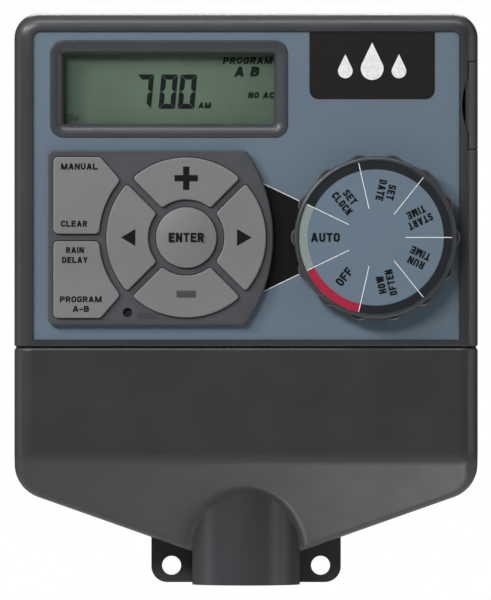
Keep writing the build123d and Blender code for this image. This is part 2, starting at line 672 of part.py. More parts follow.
def dial_knob():
    """Knob with a scalloped grip, a recess for its label and a hub through the front wall."""
    solid = slab(dial_face(DIAL_R), DIAL_BACK, DIAL_FRONT)
    rim = solid.edges().filter_by_position(Axis.Y, -DIAL_FRONT, -DIAL_FRONT)
    solid = fillet(rim, DIAL_EDGE_R)
    lobe_r = 3.9
    skirt = Circle(DIAL_R - 0.2)
    for k in range(LOBES):
        skirt += Rot(0, 0, 360.0 / LOBES * k) * Pos(DIAL_LOBE_R - lobe_r, 0) * Circle(lobe_r)
    skirt &= Circle(DIAL_LOBE_R)
    grip = slab(Pos(DIAL_X, AXIS_Z) * skirt, DIAL_BACK, LOBE_FRONT)
    crown = grip.edges().filter_by_position(Axis.Y, -LOBE_FRONT, -LOBE_FRONT)
    solid += chamfer(crown, 0.5)
    solid -= slab(dial_face(LABEL_R + 0.1), LABEL_FLOOR, DIAL_FRONT + 1)
    solid -= slab(dial_face(25.0), DIAL_BACK - 1, LABEL_FLOOR - 1.8)
    solid += slab(dial_face(HUB_R), HUB_END, LABEL_FLOOR - 0.5)
    for k in range(6):
        rib = Rot(0, 0, 60.0 * k) * Pos(16.0, 0) * Rectangle(19.0, 1.4)
        solid += slab(Pos(DIAL_X, AXIS_Z) * rib, DIAL_BACK + 0.6, LABEL_FLOOR - 1)
    return solid - rod(DIAL_X, AXIS_Z, 1.35, HUB_END - 1, LABEL_FLOOR - 1.5)


def dial_label():
    """Printed disc in the knob's recess."""
    return slab(dial_face(LABEL_R), LABEL_FLOOR, LABEL_FACE)


def dial_rotor():
    """Notched disc behind the front wall, screwed to the knob's hub."""
    face = Circle(ROTOR_R)
    for k in range(LOBES):
        face -= Rot(0, 0, 360.0 / LOBES * (k + 0.5)) * Pos(ROTOR_R + 0.4, 0) * Circle(1.3)
    solid = slab(Pos(DIAL_X, AXIS_Z) * face, ROTOR_BACK, ROTOR_FRONT)
    solid += rod(DIAL_X, AXIS_Z, 6.0, ROTOR_FRONT - 1, HUB_END)
    solid -= rod(DIAL_X, AXIS_Z, 3.1, ROTOR_BACK - 1, ROTOR_BACK + 1.5)
    return solid - rod(DIAL_X, AXIS_Z, 1.6, ROTOR_BACK - 1, HUB_END + 1)


def dial_wiper():
    """Springy contact under the rotor, with three fingers that sweep the board's tracks."""
    solid = slab(Pos(DIAL_X, AXIS_Z) * (Circle(11.0) - Circle(3.4)), ROTOR_BACK - WIPER_T, ROTOR_BACK)
    profile = [
        (37.6, 5.0),
        (37.2, 5.0),
        (34.5, 9.0),
        (34.15, 9.6),
        (34.15, 10.2),
        (34.7, 10.2),
        (37.4, 5.4),
    ]
    for k in range(3):
        finger = side_slab(profile, -1.2, 1.2)
        solid += Pos(DIAL_X, 0, AXIS_Z) * (Rot(0, 120.0 * k, 0) * finger)
    return solid


def dial_screw():
    """Screw on the dial's axis that holds the rotor to the hub."""
    return screw(DIAL_X, AXIS_Z, 2.7, (ROTOR_BACK - 0.2, ROTOR_BACK + 1.5), 1.3, 48.0)


def detent_spring():
    """Leaf across two posts, with a bump that drops into the rotor's notches."""
    z = AXIS_Z - 15.9
    leaf = box((DIAL_X - 13.9, DIAL_X + 13.9), (z, z + 0.5), 38.0, 40.2)
    return leaf + rod(DIAL_X, AXIS_Z - ROTOR_R - 1.6, 1.3, 38.0, 40.2)


# ---- Battery drawer -------------------------------------------------------------------------
def battery_drawer():
    """Sliding tray for a coin cell. Its end is flush with the casing and has a finger grip."""
    middle = (DRAWER_LOW + DRAWER_HIGH) / 2
    solid = front_block() & slab(grip_face(-DRAWER_GAP), DRAWER_BACK + DRAWER_GAP, FRONT)
    solid -= box((GRIP_X - 1, DRAWER_X + DRAWER_GAP), (DRAWER_LOW, DRAWER_HIGH), 30, TRAY_FRONT)
    dip = box((-6.0, 0.0), (-GRIP_HALF_H - 1, GRIP_HALF_H + 1), 0, 6)
    solid -= Pos(DRAWER_X + DRAWER_GAP, -(FRONT - 2.3), middle) * Rot(0, 0, -26) * dip
    tray_z = (middle - TRAY_HALF_H, middle + TRAY_HALF_H)
    tray = box((TRAY_LEFT, HALF_W - 2), tray_z, TRAY_BACK, TRAY_FRONT)
    tray -= rod(CELL_X, middle, CELL_R + 0.15, CELL_BACK - 0.05, FRONT)
    tray -= box((TRAY_LEFT - 1, CELL_X), (middle - 5.2, middle + 5.2), TRAY_BACK - 1, TRAY_FRONT + 1)
    return solid + tray


def coin_cell():
    """Coin cell with its smaller rear pole."""
    middle = (DRAWER_LOW + DRAWER_HIGH) / 2
    can = rod(CELL_X, middle, CELL_R, CELL_BACK + 0.5, CELL_BACK + CELL_T)
    edge = can.edges().filter_by_position(Axis.Y, -(CELL_BACK + CELL_T), -(CELL_BACK + CELL_T))
    return fillet(edge, 0.4) + rod(CELL_X, middle, 8.6, CELL_BACK, CELL_BACK + 0.6)


def battery_contacts():
    """Two spring strips on the board: one behind the cell and one against its rim."""
    middle = (DRAWER_LOW + DRAWER_HIGH) / 2
    rear_z, rim_z = middle - 4.2, middle + 1.2
    made = []
    profiles = (
        (rear_z, [(38.0, 34.15), (44.0, 34.15), (47.5, 36.0), (56.5, 37.7), (59.0, 37.3)]),
        (rim_z, [(38.0, 34.15), (44.0, 34.15), (45.6, 35.6), (46.2, 39.0), (49.1, 39.6)]),
    )
    for z, path in profiles:
        outline = strip_path([(x, depth) for x, depth in path], 0.3)
        face = make_face(Polyline(*[(x, -depth) for x, depth in outline], close=True))
        made.append(extrude(Plane.XY.offset(z) * face, amount=3.0, dir=(0, 0, 1)))
    return made


# ---- Wiring compartment ---------------------------------------------------------------------
def terminal_cover():
    """Pull-off cover with a sloping foot and an outlet for cables or a conduit."""
    pipe = cover_pipe()
    solid = cover_block(pipe=pipe)
    upright = [f for f in solid.faces() if abs(f.normal_at().Y) < 0.01]
    walls = [f for f in upright if abs(f.center().X) > PIPE_R + 1]
    raised = [e for f in walls for e in f.edges() if e.center().Y < -COVER_BACK - 1]
    rim = [e for e in raised if e.center().Z < COVER_TOP - 0.1]
    solid = fillet([e for e in rim if sum(e in f.edges() for f in walls) == 1], COVER_EDGE_R)
    top = solid.faces().sort_by(Axis.Z)[-1].edges()
    solid = fillet([e for e in top if e.center().Y < -COVER_BACK - 0.1], COVER_TOP_R)
    solid += pipe
    solid -= box((-HALF_W - 1, HALF_W + 1), (LEDGE_TOP, COVER_TOP + 1), 0, SPLIT + 0.1)
    solid -= cover_block(COVER_WALL, top=COVER_TOP + 1, back=-1)
    solid -= upright_rod(0, PIPE_DEPTH, CONDUIT_R, PIPE_BOTTOM - 1, PIPE_STOP)
    solid -= box((-CONDUIT_R, CONDUIT_R), (PIPE_BOTTOM - 1, PIPE_STOP), -1, PIPE_DEPTH)
    solid -= upright_rod(0, PIPE_DEPTH, PASSAGE_R, PIPE_BOTTOM, PIPE_TOP)
    solid -= box((-PASSAGE_R, PASSAGE_R), (PIPE_BOTTOM, PIPE_SIDES_TOP), -1, PIPE_DEPTH)
    return solid - slab(tab_outline(0.3), -1, TAB_T + 0.25)


def terminal_board():
    """Small board that carries the terminal strip."""
    across, up = (-STRIP_BOARD_HALF_W, STRIP_BOARD_HALF_W), (STRIP_BOARD_LOW, STRIP_BOARD_HIGH)
    solid = box(across, up, STRIP_BOARD_BACK, STRIP_BACK)
    for x, z in STRIP_POSTS:
        solid -= rod(x, z, 1.6, STRIP_BOARD_BACK - 1, STRIP_BACK + 1)
    return solid


def terminal_board_screws():
    """Four screws that hold the strip board to its posts."""
    return [screw(x, z, 2.6, (STRIP_BACK + 1.8, STRIP_BACK), 1.1, 3.2) for x, z in STRIP_POSTS]


def way_x(k):
    """The middle of a terminal, counted from the left."""
    return (k - (WAYS - 1) / 2) * PITCH


def terminal_block():
    """Moulded strip with a screw well and a wire entry for each terminal."""
    half = WAYS * PITCH / 2 + 1
    solid = box((-half, half), (STRIP_LOW, STRIP_HIGH), STRIP_BACK, STRIP_FRONT)
    for k in range(WAYS):
        x = way_x(k)
        across = (x - ENTRY_W / 2, x + ENTRY_W / 2)
        solid -= rod(x, SCREW_Z, 2.7, ENTRY_FRONT - 1, STRIP_FRONT + 1)
        solid -= box(across, (STRIP_LOW - 1, ENTRY_TOP), ENTRY_BACK, ENTRY_FRONT)
    for k in range(WAYS - 1):
        x = (way_x(k) + way_x(k + 1)) / 2
        groove = box((x - 0.5, x + 0.5), (STRIP_LOW - 1, STRIP_HIGH + 1), STRIP_FRONT - 1.2, STRIP_FRONT + 1)
        solid -= groove
    return solid


def terminal_cages():
    """Brass cages that a screw closes on a wire."""
    made = []
    for k in range(WAYS):
        x = way_x(k)
        cage = box((x - 2.6, x + 2.6), (50.0, 55.6), ENTRY_BACK + 0.1, ENTRY_FRONT - 0.2)
        cage -= box((x - 2.0, x + 2.0), (49.0, 57.0), ENTRY_BACK + 0.8, ENTRY_FRONT - 1.2)
        made.append(cage - rod(x, SCREW_Z, 1.5, ENTRY_FRONT - 2, ENTRY_FRONT + 1))
    return made


def terminal_screws():
    """Twelve slotted clamping screws."""
    made = []
    for k in range(WAYS):
        x = way_x(k)
        solid = rod(x, SCREW_Z, 2.3, 17.6, 19.6) + rod(x, SCREW_Z, 1.4, 13.8, 18.0)
        slot = Pos(x, SCREW_Z) * Rot(0, 0, 37.0 * k) * Rectangle(5.0, 0.7)
        made.append(solid - slab(slot, 18.8, 20))
    return made


def sensor_jumper():
    """Wire loop that bridges the two sensor terminals until a sensor is fitted."""
    left, right, depth = way_x(2), way_x(3), 12.2
    high, low = 54.0, 42.0
    points = [(left, -depth, high), (left, -depth, low), (right, -depth, low), (right, -depth, high)]
    path = FilletPolyline(*points, radius=2.0)
    return sweep(Plane(origin=path @ 0, z_dir=path % 0) * Circle(0.55), path=path)


PARTS = {
    "rear_housing": rear_housing,
    "front_housing": front_housing,
    "faceplate": faceplate,
    "case_screws": case_screws,
    "lcd_bezel": lcd_bezel,
    "lcd_lens": lcd_lens,
    "lcd_glass": lcd_glass,
    "lcd_holder": lcd_holder,
    "lcd_contact_strips": contact_strips,
    "keypad_bezel": keypad_bezel,
    "keypad_mat": keypad_mat,
    "key_plus": lambda: key_ring("plus", 0),
    "key_left": lambda: key_ring("left", 90),
    "key_minus": lambda: key_ring("minus", 180),
    "key_right": lambda: key_ring("right", 270),
    "key_enter": key_enter,
    "rocker_manual_clear": lambda: key_rocker("upper", 1),
    "rocker_rain_program": lambda: key_rocker("lower", -1),
    "reset_button": reset_button,
    "reset_switch": reset_switch,
    "main_board": main_board,
    "board_screws": board_screws,
    "controller_chip": controller_chip,
    "supply_capacitors": supply_capacitors,
    "station_triacs": station_triacs,
    "surge_varistors": surge_varistors,
    "ribbon_headers": ribbon_headers,
    "ribbon_cable": ribbon_cable,
    "dial_knob": dial_knob,
    "dial_label": dial_label,
    "dial_rotor": dial_rotor,
    "dial_wiper": dial_wiper,
    "dial_screw": dial_screw,
    "detent_spring": detent_spring,
    "battery_drawer": battery_drawer,
    "coin_cell": coin_cell,
    "battery_contacts": battery_contacts,
    "terminal_cover": terminal_cover,
    "terminal_board": terminal_board,
    "terminal_board_screws": terminal_board_screws,
    "terminal_block": terminal_block,
    "terminal_cages": terminal_cages,
    "terminal_screws": terminal_screws,
    "sensor_jumper": sensor_jumper,
}


def save(name, made):
    """Writes one node, which is a solid or a list of identical or paired solids."""
    shape = Compound(children=[*made]) if isinstance(made, list) else made
    export_step(shape, f"parts/{name}.step")
    print(name, "volume", round(shape.volume), "solids", len(shape.solids()))


if __name__ == "__main__":
    os.makedirs("parts", exist_ok=True)
    for part_name, make in PARTS.items():
        save(part_name, make())
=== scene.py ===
"""Looks of the irrigation controller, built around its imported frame.

The bodies' places come from the frame's nodes. Helpers take millimetres: x to the right, z up, and
depth, which is the distance forward from the wall. The front faces -Y.
"""

import json
import math

import bpy
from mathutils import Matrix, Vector
from mathutils.geometry import delaunay_2d_cdt


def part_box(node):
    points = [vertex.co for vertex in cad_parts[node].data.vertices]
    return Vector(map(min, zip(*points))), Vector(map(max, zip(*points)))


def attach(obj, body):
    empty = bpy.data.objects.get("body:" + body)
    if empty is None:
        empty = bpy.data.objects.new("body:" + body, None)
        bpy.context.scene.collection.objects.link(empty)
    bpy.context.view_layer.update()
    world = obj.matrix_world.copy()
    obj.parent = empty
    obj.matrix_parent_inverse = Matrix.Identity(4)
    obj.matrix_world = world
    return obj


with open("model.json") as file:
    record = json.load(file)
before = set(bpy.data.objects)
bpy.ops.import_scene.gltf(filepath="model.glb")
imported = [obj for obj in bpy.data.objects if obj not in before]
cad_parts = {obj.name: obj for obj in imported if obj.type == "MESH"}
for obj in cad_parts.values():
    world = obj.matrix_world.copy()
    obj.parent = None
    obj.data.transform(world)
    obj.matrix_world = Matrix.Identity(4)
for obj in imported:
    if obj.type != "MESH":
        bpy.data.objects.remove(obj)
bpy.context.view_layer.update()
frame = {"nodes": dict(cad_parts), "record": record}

MM = 0.001
PRINT = 0.03  # thickness of a printed mark
LIFT = 0.02  # how far a print stands off its surface
CORNER_STEPS = 5  # short steps in a rounded corner of a letter
SECTORS = 7
SECTOR = 360.0 / SECTORS


# ---- Places, from the frame ------------------------------------------------------------------
def place(node):
    """A node's middle (x, z), its half sizes (x, z) and its front depth, in millimetres."""
    low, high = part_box(node)
    middle = ((low.x + high.x) / 2 / MM, (low.z + high.z) / 2 / MM)
    half = ((high.x - low.x) / 2 / MM, (high.z - low.z) / 2 / MM)
    return middle, half, -low.y / MM


(dial_x, axis_z), (label_r, _), label_face = place("dial_label")
(ring_x, _), _, enter_front = place("key_enter")
_, _, panel_face = place("faceplate")
panel_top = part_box("faceplate")[1].z / MM
_, _, pad_front = place("keypad_bezel")
_, _, key_front = place("key_plus")
(display_x, display_z), _, display_front = place("lcd_glass")
(reset_x, reset_z), _, _ = place("reset_button")
dial_r = (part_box("dial_knob")[1].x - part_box("dial_knob")[0].x) / 2 / MM


# ---- Materials -------------------------------------------------------------------------------
def linear(r, g, b):
    """An sRGB colour, 0 to 255, as the linear colour that shaders take."""
    def one(value):
        value /= 255
        return value / 12.92 if value <= 0.04045 else ((value + 0.055) / 1.055) ** 2.4
    return (one(r), one(g), one(b), 1.0)


class Shader:
    """A material with a Principled shader and short ways to add nodes to it."""

    def __init__(self, name, roughness=0.5, metallic=0.0, specular=0.5):
        self.material = bpy.data.materials.new(name)
        self.material.use_nodes = True
        self.tree = self.material.node_tree
        self.shader = self.tree.nodes["Principled BSDF"]
        self.set("Roughness", roughness)
        self.set("Metallic", metallic)
        self.set("Specular IOR Level", specular)
        self.set("IOR", 1.46)
        self.coords = self.tree.nodes.new("ShaderNodeTexCoord").outputs["Object"]

    def set(self, socket, value):
        self.shader.inputs[socket].default_value = value

    def link(self, output, socket):
        self.tree.links.new(output, socket)

    def noise(self, scale, detail=3.0, rough=0.55, stretch=(1, 1, 1)):
        """Noise over the object, at so many features a metre."""
        place_node = self.tree.nodes.new("ShaderNodeMapping")
        place_node.inputs["Scale"].default_value = stretch
        self.link(self.coords, place_node.inputs["Vector"])
        node = self.tree.nodes.new("ShaderNodeTexNoise")
        node.inputs["Scale"].default_value = scale
        node.inputs["Detail"].default_value = detail
        node.inputs["Roughness"].default_value = rough
        self.link(place_node.outputs["Vector"], node.inputs["Vector"])
        return node.outputs["Fac"]

    def ramp(self, value, stops):
        """A colour from a value, through (position, colour) stops."""
        node = self.tree.nodes.new("ShaderNodeValToRGB")
        elements = node.color_ramp.elements
        while len(elements) < len(stops):
            elements.new(0.5)
        for element, (position, colour) in zip(elements, stops):
            element.position = position
            element.color = colour
        self.link(value, node.inputs["Fac"])
        return node.outputs["Color"]

    def range(self, value, low, high):
        """A value between low and high from a value between 0.3 and 0.7, as noise gives."""
        node = self.tree.nodes.new("ShaderNodeMapRange")
        node.inputs["From Min"].default_value = 0.3
        node.inputs["From Max"].default_value = 0.7
        node.inputs["To Min"].default_value = low
        node.inputs["To Max"].default_value = high
        self.link(value, node.inputs["Value"])
        return node.outputs["Result"]

    def mix(self, factor, a, b):
        """A mix of two colours, which are sockets or plain colours."""
        node = self.tree.nodes.new("ShaderNodeMix")
        node.data_type = "RGBA"
        sockets = [s for s in node.inputs if s.enabled]
        for socket, value in zip(sockets, (factor, a, b)):
            if hasattr(value, "links"):
                self.link(value, socket)
            else:
                socket.default_value = value
        return [s for s in node.outputs if s.enabled][0]

    def bump(self, height, strength, distance):
        """Relief from a height, distance deep in metres."""
        node = self.tree.nodes.new("ShaderNodeBump")
        node.inputs["Strength"].default_value = strength
        node.inputs["Distance"].default_value = distance
        self.link(height, node.inputs["Height"])
        self.link(node.outputs["Normal"], self.shader.inputs["Normal"])


def shade(colour, factor):
    """A colour made lighter or darker."""
    return tuple(c * factor for c in colour[:3]) + (1.0,)


def moulded(name, colour, roughness=0.5, specular=0.4, grain=1800, strength=0.25, painted_edge_highlight=1.35):
    """Moulded plastic: a fine spark-eroded grain, faint flow marks and a painted highlight that makes
    sharp edges lighter.
    """
    made = Shader(name, roughness, specular=specular)
    flow = made.noise(26, 4.0, 0.6, (1, 1, 1.6))
    body = made.ramp(flow, [(0.3, shade(colour, 0.93)), (0.7, shade(colour, 1.07))])
    speckle = made.noise(grain * 0.6, 2.0)
    body = made.mix(made.range(speckle, 0.0, 0.35), body, shade(colour, 1.22))
    # painted highlight: sharp edges, found by pointiness, get a lighter base colour
    geometry = made.tree.nodes.new("ShaderNodeNewGeometry")
    edge_highlight_mask = made.ramp(geometry.outputs["Pointiness"], [(0.52, (0, 0, 0, 1)), (0.6, (1, 1, 1, 1))])
    made.link(made.mix(edge_highlight_mask, body, shade(colour, painted_edge_highlight)), made.shader.inputs["Base Color"])
    gloss = made.range(made.noise(60, 3.0), roughness - 0.04, roughness + 0.05)
    made.link(gloss, made.shader.inputs["Roughness"])
    made.bump(made.noise(grain, 3.0, 0.6), strength, 0.00002)
    return made.material


def ink(name, colour, roughness=0.45):
    """Screen-printed ink, a little uneven."""
    made = Shader(name, roughness, specular=0.18)
    tone = made.ramp(made.noise(900, 2.0), [(0.3, shade(colour, 0.9)), (0.7, shade(colour, 1.1))])
    made.link(tone, made.shader.inputs["Base Color"])
    made.bump(made.noise(2500, 2.0), 0.15, 0.00001)
    return made.material


def metal(name, colour, roughness=0.3, stretch=(1, 1, 1)):
    """Plated or drawn metal with fine scratches."""
    made = Shader(name, roughness, metallic=1.0)
    scratch = made.noise(1500, 4.0, 0.65, stretch)
    tone = made.ramp(scratch, [(0.3, shade(colour, 0.82)), (0.7, shade(colour, 1.1))])
    made.link(tone, made.shader.inputs["Base Color"])
    made.link(made.range(scratch, roughness - 0.08, roughness + 0.12), made.shader.inputs["Roughness"])
    made.bump(scratch, 0.2, 0.00001)
    return made.material


def circuit_board(name):
    """Green solder mask with a faint net of tracks under it."""
    made = Shader(name, 0.32, specular=0.5)
    tracks = made.tree.nodes.new("ShaderNodeTexBrick")
    tracks.inputs["Scale"].default_value = 260
    tracks.inputs["Mortar Size"].default_value = 0.06
    tracks.inputs["Color1"].default_value = linear(24, 84, 52)
    tracks.inputs["Color2"].default_value = linear(28, 92, 58)
    tracks.inputs["Mortar"].default_value = linear(18, 66, 42)
    turned = made.tree.nodes.new("ShaderNodeMapping")
    turned.inputs["Rotation"].default_value = (math.pi / 2, 0, 0)
    made.link(made.coords, turned.inputs["Vector"])
    made.link(turned.outputs["Vector"], tracks.inputs["Vector"])
    patches = made.range(made.noise(90), 0.0, 0.4)
    mask = made.mix(patches, tracks.outputs["Color"], linear(20, 74, 48))
    made.link(mask, made.shader.inputs["Base Color"])
    made.bump(tracks.outputs["Fac"], 0.3, 0.00003)
    return made.material


def clear_window(name):
    """Clear acrylic: almost nothing of its own but a soft gloss."""
    made = Shader(name, 0.08, specular=0.5)
    made.set("Base Color", (0.02, 0.025, 0.02, 1))
    haze = made.noise(120, 2.0)
    made.link(made.range(haze, 0.05, 0.08), made.shader.inputs["Alpha"])
    return made.material


def display(name):
    """Reflective liquid-crystal cell: a grey-green ground with a painted pool of light in the middle and
    painted shade towards its edges, and a faint mottle.
    """
    made = Shader(name, 0.28, specular=0.35)
    wide, tall = 22, 38  # one over the half width and half height of the painted pool of light in the middle, in metres
    spot = made.tree.nodes.new("ShaderNodeMapping")
    spot.inputs["Location"].default_value = (-display_x * MM * wide, 0, -(display_z - 1) * MM * tall)
    spot.inputs["Scale"].default_value = (wide, 0, tall)
    made.link(made.coords, spot.inputs["Vector"])
    # painted light and shade: the ground is paler in the middle and darker towards the cell's edges
    painted_light_pool = made.tree.nodes.new("ShaderNodeTexGradient")
    painted_light_pool.gradient_type = "SPHERICAL"
    made.link(spot.outputs["Vector"], painted_light_pool.inputs["Vector"])
    ground = made.ramp(painted_light_pool.outputs["Fac"], [(0.0, linear(90, 110, 94)), (0.9, linear(112, 133, 114))])
    mottle = made.noise(350, 3.0)
    ground = made.mix(made.range(mottle, 0.0, 0.25), ground, linear(98, 112, 98))
    made.link(ground, made.shader.inputs["Base Color"])
    made.bump(made.noise(2200, 2.0), 0.08, 0.00001)
    return made.material


def rubber(name, colour):
    """Soft matt rubber."""
    made = Shader(name, 0.75, specular=0.25)
    tone = made.ramp(made.noise(160, 3.0), [(0.3, shade(colour, 0.9)), (0.7, shade(colour, 1.08))])
    made.link(tone, made.shader.inputs["Base Color"])
    made.bump(made.noise(1400, 2.0), 0.3, 0.00002)
    return made.material


def ribbon(name):
    """Flat cable: parallel cores side by side, with one red edge."""
    core = 1.3 * MM
    made = Shader(name, 0.45, specular=0.4)
    wave = made.tree.nodes.new("ShaderNodeTexWave")
    wave.wave_type = "BANDS"
    wave.bands_direction = "X"
    wave.inputs["Scale"].default_value = 125
    made.link(made.coords, wave.inputs["Vector"])
    body = made.ramp(wave.outputs["Fac"], [(0.0, linear(96, 98, 102)), (0.6, linear(168, 170, 174))])
    axes = made.tree.nodes.new("ShaderNodeSeparateXYZ")
    made.link(made.coords, axes.inputs["Vector"])
    edge_highlight_mask = made.tree.nodes.new("ShaderNodeMath")
    edge_highlight_mask.operation = "LESS_THAN"
    edge_highlight_mask.inputs[1].default_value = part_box("ribbon_cable")[0].x + core
    made.link(axes.outputs["X"], edge_highlight_mask.inputs[0])
    made.link(made.mix(edge_highlight_mask.outputs[0], body, linear(150, 30, 34)), made.shader.inputs["Base Color"])
    made.bump(wave.outputs["Fac"], 0.6, 0.0002)
    return made.material


MATERIALS = {
    "housing_plastic": moulded("housing_plastic", linear(52, 53, 55), 0.34, 0.45),
    "panel_overlay": moulded("panel_overlay", linear(94, 110, 122), 0.55, 0.3, 2400, 0.15, 1.1),
    "bezel_plastic": moulded("bezel_plastic", linear(60, 62, 65), 0.34, 0.45),
    "keypad_plastic": moulded("keypad_plastic", linear(62, 63, 66), 0.5, 0.4, 1300, 0.45),
    "key_plastic": moulded("key_plastic", linear(118, 118, 119), 0.5, 0.35, 2200, 0.12, 1.15),
    "dial_plastic": moulded("dial_plastic", linear(56, 57, 59), 0.36, 0.45),
    "label_film": moulded("label_film", linear(98, 115, 129), 0.5, 0.3, 2400, 0.12, 1.05),
    "black_plastic": moulded("black_plastic", linear(28, 28, 29), 0.45),
    "white_plastic": moulded("white_plastic", linear(210, 210, 205), 0.5),
    "terminal_plastic": moulded("terminal_plastic", linear(38, 92, 60), 0.42),
    "clear_window": clear_window("clear_window"),
    "display_glass": display("display_glass"),
    "contact_rubber": rubber("contact_rubber", linear(70, 70, 72)),
    "key_rubber": rubber("key_rubber", linear(150, 152, 152)),
    "circuit_board": circuit_board("circuit_board"),
    "capacitor_can": moulded("capacitor_can", linear(34, 36, 62), 0.3),
    "varistor_coat": moulded("varistor_coat", linear(58, 86, 150), 0.35),
    "ribbon_plastic": ribbon("ribbon_plastic"),
    "screw_steel": metal("screw_steel", linear(190, 190, 188), 0.32),
    "spring_steel": metal("spring_steel", linear(200, 200, 198), 0.25, (6, 1, 1)),
    "cell_steel": metal("cell_steel", linear(205, 205, 204), 0.28),
    "contact_brass": metal("contact_brass", linear(214, 178, 104), 0.3),
    "wire_sleeve": moulded("wire_sleeve", linear(168, 36, 30), 0.35),
}
INKS = {
    "black_ink": ink("black_ink", linear(8, 8, 9), 0.6),
    "pointer_ink": ink("pointer_ink", linear(12, 12, 13), 0.8),
    "label_black": ink("label_black", linear(34, 37, 40)),
    "soft_black_ink": ink("soft_black_ink", linear(74, 74, 76)),
    "white_ink": ink("white_ink", linear(232, 234, 232)),
    "red_ink": ink("red_ink", linear(168, 38, 64)),
    "pale_ink": ink("pale_ink", linear(136, 146, 144)),
    "patch_ink": ink("patch_ink", linear(30, 30, 31)),
    "segment_ink": ink("segment_ink", linear(16, 26, 24), 0.6),
    "weak_segment_ink": ink("weak_segment_ink", linear(56, 72, 62), 0.6),
}


def dress_frame():
    """Gives each node of the frame its slot's material."""
    for part in frame["record"]["subparts"]:
        node = frame["nodes"][part["node"]]
        node.data.materials.clear()
        node.data.materials.append(MATERIALS[part["material_slot"]])


# ---- Prints: thin marks that ride on a body --------------------------------------------------
def finish_piece(mesh, name, body, material):
    """Makes a mesh a piece that rides on a body."""
    mesh.materials.clear()
    mesh.materials.append(material)
    piece = bpy.data.objects.new(name, mesh)
    bpy.context.scene.collection.objects.link(piece)
    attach(piece, body)
    return piece


def plate(name, outlines, depth, body, material):
    """Flat closed shapes, each a list of (x, z) points, counter-clockwise as seen from the front."""
    points, faces = [], []
    for outline in outlines:
        start, count = len(points), len(outline)
        for level in (depth, depth + PRINT):
            points += [(x * MM, -level * MM, z * MM) for x, z in outline]
        front = [start + count + i for i in range(count)]
        back = [start + i for i in range(count)][::-1]
        faces += [front, back]
        for i in range(count):
            j = (i + 1) % count
            faces.append((start + i, start + j, start + count + j, start + count + i))
    mesh = bpy.data.meshes.new(name)
    mesh.from_pydata(points, [], faces)
    mesh.validate()
    return finish_piece(mesh, name, body, material)


def rounded_path(points, radius, closed):
    """A path with its corners rounded, in a few short steps each, and no point twice."""
    same = 0.001
    made = []
    count = len(points)
    for i, point in enumerate(points):
        if radius == 0 or (not closed and i in (0, count - 1)):
            made.append(point)
            continue
        corner = Vector(point)
        before, after = Vector(points[i - 1]) - corner, Vector(points[(i + 1) % count]) - corner
        start = corner + before.normalized() * min(radius, before.length / 2)
        end = corner + after.normalized() * min(radius, after.length / 2)
        for k in range(CORNER_STEPS + 1):
            u = k / CORNER_STEPS
            made.append(tuple(start * (1 - u) ** 2 + corner * 2 * u * (1 - u) + end * u**2))
    kept = [made[0]]
    kept += [point for before, point in zip(made, made[1:]) if math.dist(before, point) > same]
    return kept[:-1] if closed and math.dist(kept[0], kept[-1]) < same else kept


def band(points, weight, radius=0.0, closed=False):
    """A stroke along a path, as a row of four-sided shapes."""
    path = [Vector(p) for p in rounded_path(points, radius, closed)]
    count = len(path)
    sides = []
    for i, point in enumerate(path):
        before = path[i - 1] if i or closed else point
        after = path[(i + 1) % count] if i < count - 1 or closed else point
        runs = [run.normalized() for run in (point - before, after - point) if run.length > 1e-6]
        normals = [Vector((run.y, -run.x)) for run in runs]
        mean = sum(normals, Vector((0, 0))).normalized()
        reach = weight / 2 / max(mean.dot(normals[0]), 0.5)
        sides.append((point + mean * reach, point - mean * reach))
    pairs = list(zip(sides, sides[1:] + sides[:1])) if closed else list(zip(sides, sides[1:]))
    return [[tuple(a[0]), tuple(b[0]), tuple(b[1]), tuple(a[1])] for a, b in pairs]


def leg(x0, y0, x1, y1, weight):
    """A slanting stroke whose ends are level. x0 and x1 are its left side."""
    wide = weight * 1.1
    return [[(x0, y0), (x0 + wide, y0), (x1 + wide, y1), (x1, y1)]]


GLYPH_WIDTHS = {
    "A": 0.68, "M": 0.78, "N": 0.62, "W": 0.92, "I": 0.2, "Y": 0.64, "1": 0.38, "-": 0.42, " ": 0.3,
}
USUAL_WIDTH = 0.58
GLYPH_GAP = 0.12


def glyph_width(letter):
    """A letter's usual width, for a height of 1."""
    return GLYPH_WIDTHS.get(letter, USUAL_WIDTH)


